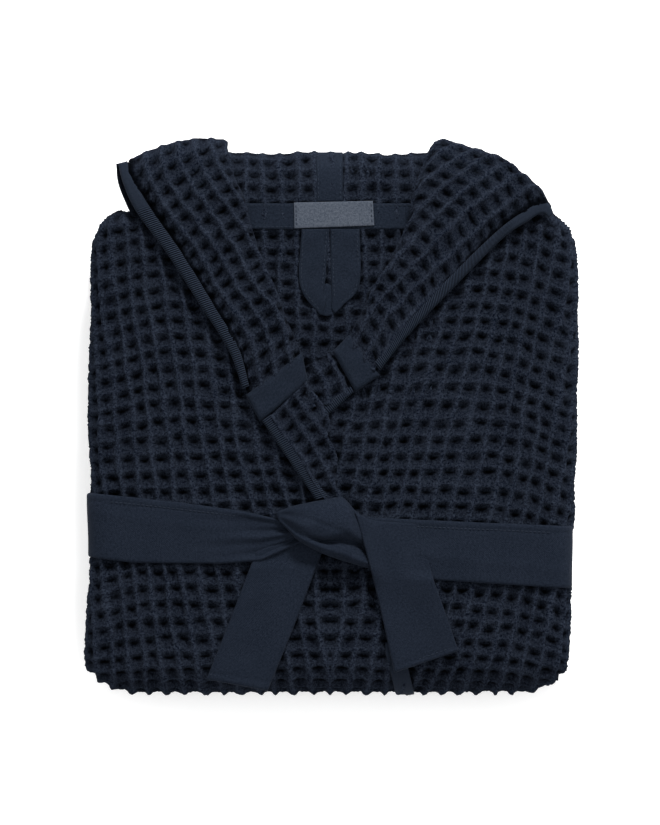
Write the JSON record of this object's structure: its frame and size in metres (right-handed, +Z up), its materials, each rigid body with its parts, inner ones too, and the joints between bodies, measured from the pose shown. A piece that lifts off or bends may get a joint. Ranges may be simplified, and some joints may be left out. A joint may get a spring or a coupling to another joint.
{
  "type": "hooded bathrobe",
  "caption": "Hooded waffle-cloth bathrobe folded flat to a rectangle and tied round with its cloth belt, hood laid open like a lapel collar.",
  "frame": {"origin": "on the floor under the middle of the folded bundle", "axes": "+Z up through the layers, +Y towards the hood, +X to the wearer's left"},
  "size_m": [0.389, 0.447, 0.086],
  "materials": {
    "waffle_cloth": "deep dark navy honeycomb waffle weave",
    "plain_tape": "dark navy plain-weave tape",
    "ribbed_binding": "dark navy ribbed binding tape",
    "belt_cloth": "dark navy plain-weave belt cloth",
    "label_leather": "matt blue-grey pressed leather, blank"
  },
  "bodies": {
    "torso": {"right_front_panel": "waffle_cloth", "left_front_panel": "waffle_cloth", "back_panel": "waffle_cloth", "right_sleeve": "waffle_cloth", "left_sleeve": "waffle_cloth", "right_cuff": "waffle_cloth", "left_cuff": "waffle_cloth", "hood_crown": "waffle_cloth", "hood_tucked_crown": "waffle_cloth", "hood_right_side": "waffle_cloth", "hood_left_side": "waffle_cloth", "right_collar_patch": "plain_tape", "left_collar_patch": "plain_tape", "right_front_binding_upper": "ribbed_binding", "right_front_binding_lower": "ribbed_binding", "left_front_binding": "ribbed_binding", "neck_tape": "plain_tape", "label": "label_leather", "hood_seam_tape": "plain_tape", "belt_band": "belt_cloth", "belt_knot": "belt_cloth", "right_belt_loop": "plain_tape", "left_belt_loop": "plain_tape"},
    "hanger": {"hanger_loop": "plain_tape"},
    "right_tail": {"belt_tail_right": "belt_cloth"},
    "left_tail": {"belt_tail_left": "belt_cloth"},
    "right_hood_flap": {"hood_right_corner": "waffle_cloth", "hood_right_binding": "ribbed_binding"},
    "left_hood_flap": {"hood_left_corner": "waffle_cloth", "hood_left_binding": "ribbed_binding"},
    "bottom_fold": {"bottom_fold_right_front": "waffle_cloth", "bottom_fold_left_front": "waffle_cloth", "bottom_fold_binding": "ribbed_binding", "bottom_fold_back": "waffle_cloth"},
    "skirt": {"skirt_right_front": "waffle_cloth", "skirt_left_front": "waffle_cloth", "skirt_back": "waffle_cloth", "right_pocket": "waffle_cloth", "left_pocket": "waffle_cloth", "hem": "waffle_cloth"}
  },
  "joints": [
    {"name": "right_hood_corner_lift", "type": "hinge", "parent": "torso", "child": "right_hood_flap", "pos_m": [-0.064, 0.024, 0.0752], "axis": [-0.0924, 0.9957, 0], "range_deg": [0, 85]},
    {"name": "left_hood_corner_lift", "type": "hinge", "parent": "torso", "child": "left_hood_flap", "pos_m": [0.0378, 0.0435, 0.0752], "axis": [-0.2472, -0.969, 0], "range_deg": [0, 85]},
    {"name": "hanger_flip", "type": "hinge", "parent": "torso", "child": "hanger", "pos_m": [0, 0.1502, 0.0664], "axis": [-1, 0, 0], "range_deg": [0, 165]},
    {"name": "right_tail_lift", "type": "hinge", "parent": "torso", "child": "right_tail", "pos_m": [-0.064, -0.1194, 0.0716], "axis": [-0.9984, 0.0569, 0], "range_deg": [0, 90]},
    {"name": "left_tail_lift", "type": "hinge", "parent": "torso", "child": "left_tail", "pos_m": [0.0266, -0.099, 0.0752], "axis": [-0.9615, -0.2747, 0], "range_deg": [0, 120]},
    {"name": "skirt_unfold_upper", "type": "hinge", "parent": "torso", "child": "bottom_fold", "pos_m": [0, -0.218, 0.059], "axis": [-1, 0, 0], "range_deg": [0, 90]},
    {"name": "skirt_unfold_lower", "type": "hinge", "parent": "bottom_fold", "child": "skirt", "pos_m": [0, -0.218, 0.009], "axis": [-1, 0, 0], "range_deg": [0, 90]}
  ],
  "couplings": [
    {"joint": "skirt_unfold_lower", "follows": "skirt_unfold_upper", "ratio": 1}
  ]
}
